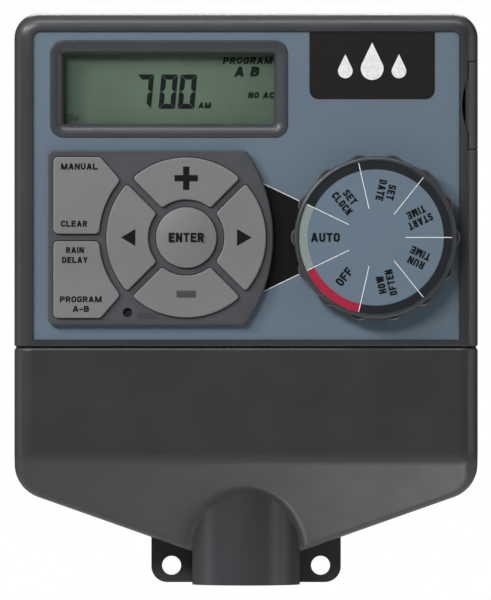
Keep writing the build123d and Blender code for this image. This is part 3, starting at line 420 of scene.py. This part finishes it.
def glyph(letter, wide, s):
    """A bold capital or digit, 1 high and wide times its usual width, in strokes s thick."""
    w = max(glyph_width(letter) * wide, s)
    t = 1.1 * s
    left, right, low, high, middle = s / 2, w - s / 2, s / 2, 1 - s / 2, w / 2
    r = min(0.26, 0.5 * (w - s))

    def line(*points):
        return band(points, s)

    def bow(*points, closed=False):
        return band(points, s, r, closed)

    stem, foot, top = line((left, 0), (left, 1)), line((0, low), (w, low)), line((0, high), (w, high))
    shapes = {
        "A": lambda: leg(0, 0, middle - t / 2, 1, s) + leg(w - t, 0, middle - t / 2, 1, s)
        + line((w * 0.2, 0.3), (w * 0.8, 0.3)),
        "B": lambda: stem + bow((left, high), (right - 0.02, high), (right - 0.02, 0.53), (left, 0.53))
        + bow((left, 0.53), (right, 0.53), (right, low), (left, low)),
        "C": lambda: bow((right, 0.66), (right, high), (left, high), (left, low), (right, low),
                         (right, 0.34)),
        "D": lambda: stem + bow((left, high), (right, high), (right, low), (left, low)),
        "E": lambda: stem + foot + top + line((0, 0.52), (w * 0.9, 0.52)),
        "F": lambda: stem + top + line((0, 0.5), (w * 0.88, 0.5)),
        "G": lambda: bow((right, 0.68), (right, high), (left, high), (left, low), (right, low),
                         (right, 0.5)) + line((w * 0.5, 0.46), (w, 0.46)),
        "H": lambda: stem + line((right, 0), (right, 1)) + line((left, 0.5), (right, 0.5)),
        "I": lambda: line((middle, 0), (middle, 1)),
        "K": lambda: stem + leg(s * 0.6, 0.36, w - t, 1, s) + leg(w - t, 0, s * 0.9, 0.62, s),
        "L": lambda: stem + foot,
        "M": lambda: stem + line((right, 0), (right, 1)) + leg(middle - t / 2, 0, 0, 1, s)
        + leg(middle - t / 2, 0, w - t, 1, s),
        "N": lambda: stem + line((right, 0), (right, 1)) + leg(w - t, 0, 0, 1, s),
        "O": lambda: bow((left, low), (right, low), (right, high), (left, high), closed=True),
        "P": lambda: stem + bow((left, high), (right, high), (right, 0.45), (left, 0.45)),
        "R": lambda: stem + bow((left, high), (right, high), (right, 0.48), (left, 0.48))
        + leg(w - t, 0, w * 0.36, 0.5, s),
        "S": lambda: bow((right, 0.7), (right, high), (left, high), (left, 0.51), (right, 0.49),
                         (right, low), (left, low), (left, 0.3)),
        "T": lambda: top + line((middle, 0), (middle, 1)),
        "U": lambda: bow((left, 1), (left, low), (right, low), (right, 1)),
        "W": lambda: leg(w * 0.18, 0, 0, 1, s) + leg(w * 0.18, 0, middle - t / 2, 1, s)
        + leg(w * 0.82 - t, 0, middle - t / 2, 1, s) + leg(w * 0.82 - t, 0, w - t, 1, s),
        "Y": lambda: leg(middle - t / 2, 0.4, 0, 1, s) + leg(middle - t / 2, 0.4, w - t, 1, s)
        + line((middle, 0), (middle, 0.45)),
        "u": lambda: bow((left, 0.7), (left, low), (right, low), (right, 0.7))
        + line((right, 0), (right, 0.7)),
        "-": lambda: line((0, 0.42), (w, 0.42)),
        "1": lambda: line((right, 0), (right, 1)) + leg(0, 0.72, right - t / 2, 1, s),
        "2": lambda: bow((left, 0.7), (left, high), (right, high), (right, 0.56), (left, 0.2)) + foot,
        "3": lambda: bow((left, high), (right, high), (right, 0.53), (w * 0.3, 0.53))
        + bow((w * 0.3, 0.53), (right, 0.53), (right, low), (left, low)),
        "4": lambda: line((right - s / 2, 0), (right - s / 2, 1)) + line((0, 0.3), (w, 0.3))
        + leg(0, 0.3, right - t, 1, s),
        "5": lambda: top + line((left, 0.5), (left, 1))
        + bow((left, 0.6), (right, 0.6), (right, low), (left, low), (left, 0.22)),
        "6": lambda: bow((left, low), (right, low), (right, 0.56), (left, 0.56), closed=True)
        + bow((left, 0.3), (left, high), (right, high)),
        " ": lambda: [],
    }
    return w, shapes[letter]()


def word_shapes(text, width, weight):
    """A word, 1 high and so wide, as corners and triangles, and how wide it came out."""
    usual = sum(glyph_width(letter) for letter in text)
    wide = (width - GLYPH_GAP * (len(text) - 1)) / usual
    x, corners, triangles = 0.0, [], []
    for letter in text:
        advance, parts = glyph(letter, wide, weight)
        points, faces = united(parts)
        triangles += [[len(corners) + i for i in face] for face in faces]
        corners += [(x + px, py) for px, py in points]
        x += advance + GLYPH_GAP
    return corners, triangles, x - GLYPH_GAP


def united(shapes):
    """Overlapping four-sided shapes as one net of corners and triangles.

    A net that covers more than its shapes has filled a hole, so it is made again with points that
    lie a little further apart taken as one.
    """
    corners, faces = [], []
    for a, b, c, d in shapes:
        for half in (counter_clockwise([a, b, c]), counter_clockwise([a, c, d])):
            if signed_area(half) > 1e-6:
                faces.append([len(corners), len(corners) + 1, len(corners) + 2])
                corners += [Vector(point) for point in half]
    if not faces:
        return [], []
    most = sum(signed_area([corners[i] for i in face]) for face in faces)
    for closeness in (1e-5, 1e-4, 1e-3, 3e-3):
        net = delaunay_2d_cdt(corners, [], faces, 0, closeness)
        triangles = [triangle for triangle, sources in zip(net[2], net[5]) if sources]
        area = sum(signed_area([net[0][i] for i in triangle]) for triangle in triangles)
        if area < most * 1.01:
            return net[0], triangles
    return corners, faces


def lettering(name, lines, cap, width, centre, depth, body, material,
              turn=0.0, lead=1.5, weight=0.2, slant=0.0, thickness=PRINT):
    """Printed capitals.

    cap is their height, width that of the longest line, and centre the block's middle (x, z). turn is
    in degrees. lead, the line pitch, and weight, a stroke's thickness, are in cap heights.
    """
    spans = [sum(glyph_width(letter) + GLYPH_GAP for letter in text) for text in lines]
    angle = math.radians(turn)
    points, faces = [], []
    for k, (text, span) in enumerate(zip(lines, spans)):
        share = span / max(spans)
        corners, triangles, run = word_shapes(text, width / cap * share, weight)
        level = ((len(lines) - 1) / 2 - k) * lead - 0.5
        start, count = len(points), len(corners)
        for back in (0.0, thickness):
            for px, py in corners:
                x = (px - run / 2 + (py - 0.5) * slant) * cap
                y = (py + level) * cap
                across = centre[0] + x * math.cos(angle) - y * math.sin(angle)
                up = centre[1] + x * math.sin(angle) + y * math.cos(angle)
                points.append((across * MM, -(depth + back) * MM, up * MM))
        edges = {(a, b) for tri in triangles for a, b in zip(tri, tri[1:] + tri[:1])}
        outer = [(start + a, start + b) for a, b in edges if (b, a) not in edges]
        faces += [[start + count + i for i in tri] for tri in triangles]
        faces += [[start + i for i in tri][::-1] for tri in triangles]
        faces += [(a, b, count + b, count + a) for a, b in outer]
    made = bpy.data.meshes.new(name)
    made.from_pydata(points, [], faces)
    made.validate()
    return finish_piece(made, name, body, material)


def arc_points(centre, radius, start, end, step=2.0):
    """Points on an arc, in degrees counter-clockwise from the right."""
    count = max(2, int(abs(end - start) / step) + 1)
    angles = [math.radians(start + (end - start) * i / (count - 1)) for i in range(count)]
    return [(centre[0] + radius * math.cos(a), centre[1] + radius * math.sin(a)) for a in angles]


def ring_outline(centre, inner, outer, start, end):
    """Part of a ring."""
    return arc_points(centre, outer, start, end) + arc_points(centre, inner, end, start)


def bar_outline(a, b, width):
    """A straight bar between two points."""
    (ax, az), (bx, bz) = a, b
    run = math.hypot(bx - ax, bz - az)
    sx, sz = (bz - az) / run * width / 2, -(bx - ax) / run * width / 2
    return [(ax + sx, az + sz), (bx + sx, bz + sz), (bx - sx, bz - sz), (ax - sx, az - sz)]


def polar(centre, radius, angle):
    """A point so far from a centre, at an angle in degrees."""
    a = math.radians(angle)
    return (centre[0] + radius * math.cos(a), centre[1] + radius * math.sin(a))


# ---- Dial prints -----------------------------------------------------------------------------
DIAL_LEGENDS = [
    ("auto", ["AUTO"], 9.9),
    ("set_clock", ["SET", "CLOCK"], 8.9),
    ("set_date", ["SET", "DATE"], 7.18),
    ("start_time", ["START", "TIME"], 8.9),
    ("run_time", ["RUN", "TIME"], 7.18),
    ("how_often", ["HOW", "OFTEN"], 8.9),
    ("off", ["OFF"], 6.6),
]


def dial_prints():
    """The label's coloured ring, its dividing lines and, clockwise from the left, its words."""
    centre = (dial_x, axis_z)
    face = label_face + LIFT
    outer, inner = label_r - 0.1, label_r - 3.0
    lines_from, line_w = 10.1, 0.28
    half = SECTOR / 2
    bands = [
        ("dial_ring_black", "label_black", 180 - half - 5 * SECTOR, 180 - half),
        ("dial_ring_auto", "pale_ink", 180 - half, 180 + half),
        ("dial_ring_off", "red_ink", 180 + half, 180 + half + SECTOR),
    ]
    for name, colour, start, end in bands:
        part = ring_outline(centre, inner, outer, start, end)
        plate(name, [part], face, "dial", INKS[colour])
    lines = []
    for k in range(SECTORS):
        angle = 180 - half + k * SECTOR
        lines.append(bar_outline(polar(centre, lines_from, angle), polar(centre, outer, angle), line_w))
    plate("dial_lines", lines, face + PRINT, "dial", INKS["white_ink"])
    for k, (name, words, width) in enumerate(DIAL_LEGENDS):
        turn = -k * SECTOR
        cap, radius = (3.1, 17.2) if len(words) == 1 else (2.65, 16.2)
        lettering("dial_" + name, words, cap, width, polar(centre, radius, 180 + turn), face,
                  "dial", INKS["black_ink"], turn=turn, lead=1.3, weight=0.23)


# ---- Panel prints ----------------------------------------------------------------------------
def patch_and_drops():
    """Black field at the top right with a group of three water drops on it."""
    left, right, low, high, r = 21.7, 64.7, 160.7, panel_top - 0.2, 3.2
    apart = 9.2
    outline = [(right, high), (left, high)]
    outline += arc_points((left + r, low + r), r, 180, 270, 10)
    outline += arc_points((right - r, low + r), r, 270, 360, 10)
    face = panel_face + LIFT
    plate("top_patch", [outline], face, "case", INKS["patch_ink"])
    middle = (left + right) / 2
    drops = [(middle, 171.2, 3.9), (middle - apart, 170.4, 2.5), (middle + apart, 170.4, 2.5)]
    plate("water_drops", [drop_outline(*drop) for drop in drops], face + PRINT, "case",
          INKS["white_ink"])


def drop_outline(x, z, r):
    """A water drop: a round foot whose sides run up to a point."""
    tip = z + 2.3 * r
    lean = math.degrees(math.asin(r / (tip - z)))
    return [(x, tip)] + arc_points((x, z), r, 180 - lean, 360 + lean, 6)


def pointer():
    """Black wedge from the keypad to the dial, edged with thin white lines."""
    centre = (dial_x, axis_z)
    half = SECTOR / 2
    face = panel_face + LIFT
    far_x, near_r, edge_w = 4.2, dial_r - 1.2, 0.3
    reach = (dial_x - far_x) * math.tan(math.radians(half))
    near = [polar(centre, near_r, 180 - half), polar(centre, near_r, 180 + half)]
    far = [(far_x, axis_z - reach), (far_x, axis_z + reach)]
    wedge = [near[0], far[1], far[0], near[1]]
    plate("pointer", [wedge], face, "case", INKS["pointer_ink"])
    edges = [bar_outline(near[0], far[1], edge_w), bar_outline(near[1], far[0], edge_w)]
    plate("pointer_edges", edges, face + PRINT, "case", INKS["white_ink"])


# ---- Key prints ------------------------------------------------------------------------------
def key_prints():
    """The words and signs on the keys."""
    face = key_front + LIFT - 0.01
    words = [
        ("manual", ["MANUAL"], 2.15, 12.6, (-57.1, 137.6), "rocker_manual_clear"),
        ("clear", ["CLEAR"], 2.1, 9.0, (-58.9, 118.0), "rocker_manual_clear"),
        ("rain_delay", ["RAIN", "DELAY"], 2.1, 8.8, (-58.6, 107.3), "rocker_rain_program"),
        ("program", ["PROGRAM", "A-B"], 2.05, 14.3, (-56.6, 90.5), "rocker_rain_program"),
    ]
    for name, lines, cap, width, centre, body in words:
        lettering("print_" + name, lines, cap, width, centre, face, body, INKS["black_ink"],
                  lead=1.6, weight=0.25)
    lettering("print_enter", ["ENTER"], 3.2, 12.0, (ring_x, axis_z), enter_front + LIFT, "key_enter",
              INKS["black_ink"], weight=0.23)
    bar, reach, plus_z = 2.15 / 2, 4.0, 133.6
    plus = []
    for sx, sz in ((1, 1), (-1, 1), (-1, -1), (1, -1)):
        corner = [(sx * reach, sz * bar), (sx * bar, sz * bar), (sx * bar, sz * reach)]
        plus += corner if sx * sz > 0 else corner[::-1]
    plus = [(ring_x + x, plus_z + z) for x, z in plus]
    plate("print_plus", [plus], face, "key_plus", INKS["black_ink"])
    reach, minus_z, minus_w = 3.35, 93.9, 2.4
    minus = bar_outline((ring_x - reach, minus_z), (ring_x + reach, minus_z), minus_w)
    plate("print_minus", [minus], face, "key_minus", INKS["soft_black_ink"])
    for name, side in (("left", -1), ("right", 1)):
        base, tip, half = ring_x + side * 17.4, ring_x + side * 22.4, 2.9
        shape = [(base, axis_z - half), (tip, axis_z), (base, axis_z + half)]
        plate("print_" + name, [shape[::side]], face, "key_" + name, INKS["black_ink"])
    beside = (reset_x + 6.9, reset_z - 1.0)
    lettering("reset_word", ["RESET"], 1.9, 7.4, beside, pad_front - 0.01, "case",
              MATERIALS["keypad_plastic"], weight=0.22, thickness=0.22)


# ---- Display ---------------------------------------------------------------------------------
SEGMENTS = {"7": "abc", "0": "abcdef"}


def segment_outlines(digit, x, z, width, height, stroke, slant):
    """The lit segments of a digit whose lower left corner is (x, z)."""
    gap = 0.13
    half = height / 2
    cut = stroke / 2
    right, top = width - stroke, height - stroke  # inner sides of the strokes
    over, under = half + gap, half - gap
    shapes = {
        "a": [(gap, height), (width - gap, height), (right, top), (stroke, top)],
        "b": [(width, height - gap), (width, over), (width - cut, half + gap / 2), (right, over + cut),
              (right, top - gap)],
        "c": [(width, under), (width, gap), (right, stroke + gap), (right, under - cut),
              (width - cut, half - gap / 2)],
        "d": [(gap, 0), (width - gap, 0), (right, stroke), (stroke, stroke)],
        "e": [(0, under), (0, gap), (stroke, stroke + gap), (stroke, under - cut), (cut, half - gap / 2)],
        "f": [(0, height - gap), (0, over), (cut, half + gap / 2), (stroke, over + cut),
              (stroke, top - gap)],
    }
    made = []
    for name in SEGMENTS[digit]:
        outline = [(x + px + pz * slant, z + pz) for px, pz in shapes[name]]
        made.append(counter_clockwise(outline))
    return made


def signed_area(outline):
    """The area inside an outline, below zero if it runs clockwise."""
    return sum(ax * bz - bx * az for (ax, az), (bx, bz) in zip(outline, outline[1:] + outline[:1])) / 2


def counter_clockwise(outline):
    """The outline, turned round if it runs clockwise."""
    return outline if signed_area(outline) > 0 else outline[::-1]


def display_prints():
    """What the display shows: the time, and small flags round it."""
    face = display_front + LIFT
    foot, width, height, stroke, slant = 157.5, 5.7, 11.8, 1.75, 0.09
    digits = []
    for digit, x in (("7", -38.3), ("0", -30.1), ("0", -23.5)):
        digits += segment_outlines(digit, x, foot, width, height, stroke, slant)
    plate("display_time", digits, face, "case", INKS["segment_ink"])
    flags = [
        ("am", ["AM"], 2.0, 4.3, (-14.2, 158.7), "segment_ink", 0.3),
        ("program", ["PROGRAM"], 2.4, 16.9, (0.6, 174.1), "segment_ink", 0.28),
        ("letter_a", ["A"], 3.4, 3.3, (-2.2, 170.3), "segment_ink", 0.3),
        ("letter_b", ["B"], 3.4, 3.0, (3.1, 170.3), "segment_ink", 0.3),
        ("no_ac", ["NO AC"], 2.1, 8.9, (5.2, 162.2), "segment_ink", 0.3),
        ("day", ["Su"], 2.4, 3.1, (-59.3, 154.6), "weak_segment_ink", 0.18),
    ]
    for name, lines, cap, width, centre, colour, weight in flags:
        lettering("display_" + name, lines, cap, width, centre, face, "case", INKS[colour],
                  weight=weight, slant=0.16)


# ---- Inside: marks on the terminal strip -----------------------------------------------------
def terminal_marks():
    """Numbers and letters above the terminals."""
    low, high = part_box("terminal_block")
    labels = ["AC", "AC", "S", "S", "P", "C", "1", "2", "3", "4", "5", "6"]
    end_wall = 1.0
    pitch = ((high.x - low.x) / MM - 2 * end_wall) / len(labels)
    row = high.z / MM - 2.2
    for k, label in enumerate(labels):
        x = (k - (len(labels) - 1) / 2) * pitch
        lettering(f"terminal_mark_{k + 1}", [label], 2.0, 1.5 * len(label), (x, row), -low.y / MM,
                  "case", INKS["white_ink"], weight=0.17)


# ---- Stage, light and camera -----------------------------------------------------------------
def stage():
    """Pale floor, a metre below the hanging controller."""
    bpy.ops.mesh.primitive_circle_add(vertices=128, radius=4.0, fill_type="NGON",
                                      location=(0, 0, -1.0))
    floor = bpy.context.object
    floor.name = "floor"
    pale = Shader("pale_floor", 0.8, specular=0.1)
    pale.set("Base Color", (0.86, 0.86, 0.86, 1))
    floor.data.materials.append(pale.material)


def area_light(name, place_at, aim, size, power, shine_only=False):
    """A soft light, which may add only to the shine of a surface."""
    data = bpy.data.lights.new(name, "AREA")
    data.shape = "RECTANGLE"
    data.size, data.size_y = size
    data.energy = power
    lamp = bpy.data.objects.new(name, data)
    lamp.location = place_at
    lamp.rotation_euler = (Vector(aim) - Vector(place_at)).to_track_quat("-Z", "Y").to_euler()
    lamp.visible_camera = False
    lamp.visible_diffuse = not shine_only
    bpy.context.scene.collection.objects.link(lamp)


def lights():
    """Key lights from the upper left, a strip above for shine, and weak fills right, below and behind."""
    target = (0, -0.04, 0.11)
    area_light("key", (-0.70, -1.35, 0.95), target, (0.8, 0.3), 17.5)
    area_light("left_key", (-1.20, -0.80, 0.95), target, (0.25, 0.25), 12.0)
    area_light("top_strip", (0.0, -0.90, 1.50), target, (1.6, 0.2), 16.0, shine_only=True)
    area_light("right_card", (1.30, -0.65, 0.15), target, (0.3, 0.8), 2.0)
    area_light("low_card", (0.20, -0.12, -0.50), (0.20, -0.12, 0.0), (0.35, 0.2), 0.85)
    area_light("back_soft", (0.0, 1.20, 1.20), target, (1.0, 0.6), 16.0)


def surround():
    """White where the camera looks past the object. It lights the sides, and is dark in front."""
    world = bpy.data.worlds.new("surround")
    bpy.context.scene.world = world
    world.use_nodes = True
    nodes, links = world.node_tree.nodes, world.node_tree.links
    seen = nodes["Background"]
    seen.inputs["Color"].default_value = (1, 1, 1, 1)
    seen.inputs["Strength"].default_value = 1.0
    directions = nodes.new("ShaderNodeTexCoord")
    axes = nodes.new("ShaderNodeSeparateXYZ")
    links.new(directions.outputs["Generated"], axes.inputs["Vector"])
    spread = nodes.new("ShaderNodeMapRange")
    spread.inputs["From Min"].default_value = -1.0
    links.new(axes.outputs["Y"], spread.inputs["Value"])
    ramp = nodes.new("ShaderNodeValToRGB")
    # from straight in front, 0, past the sides, 0.5, to straight behind, 1
    stops = [(0.0, 0.04), (0.33, 0.12), (0.44, 0.9), (0.5, 1.7), (0.56, 0.6), (0.65, 0.12), (1.0, 0.1)]
    elements = ramp.color_ramp.elements
    while len(elements) < len(stops):
        elements.new(0.5)
    for element, (position, level) in zip(elements, stops):
        element.position = position
        element.color = (level, level, level * 1.02, 1)
    links.new(spread.outputs["Result"], ramp.inputs["Fac"])
    lit = nodes.new("ShaderNodeBackground")
    links.new(ramp.outputs["Color"], lit.inputs["Color"])
    paths = nodes.new("ShaderNodeLightPath")
    mix = nodes.new("ShaderNodeMixShader")
    links.new(paths.outputs["Is Camera Ray"], mix.inputs["Fac"])
    links.new(lit.outputs["Background"], mix.inputs[1])
    links.new(seen.outputs["Background"], mix.inputs[2])
    links.new(mix.outputs["Shader"], nodes["World Output"].inputs["Surface"])


def camera():
    """A long lens, level and straight on, that frames the whole front."""
    distance, tall = 4.0, 0.2056  # tall is the height of the view at the casing's front
    front = -0.046
    data = bpy.data.cameras.new("camera")
    data.sensor_width = 36.0
    data.lens = data.sensor_width * distance / tall
    data.clip_start, data.clip_end = 0.1, 50.0
    seen_from = bpy.data.objects.new("camera", data)
    seen_from.location = (-0.0002, front - distance, 0.0919)
    seen_from.rotation_euler = (math.pi / 2, 0, 0)
    bpy.context.scene.collection.objects.link(seen_from)
    bpy.context.scene.camera = seen_from
    bpy.context.scene.view_settings.view_transform = "Standard"


dress_frame()
dial_prints()
patch_and_drops()
pointer()
key_prints()
display_prints()
terminal_marks()
stage()
lights()
surround()
camera()
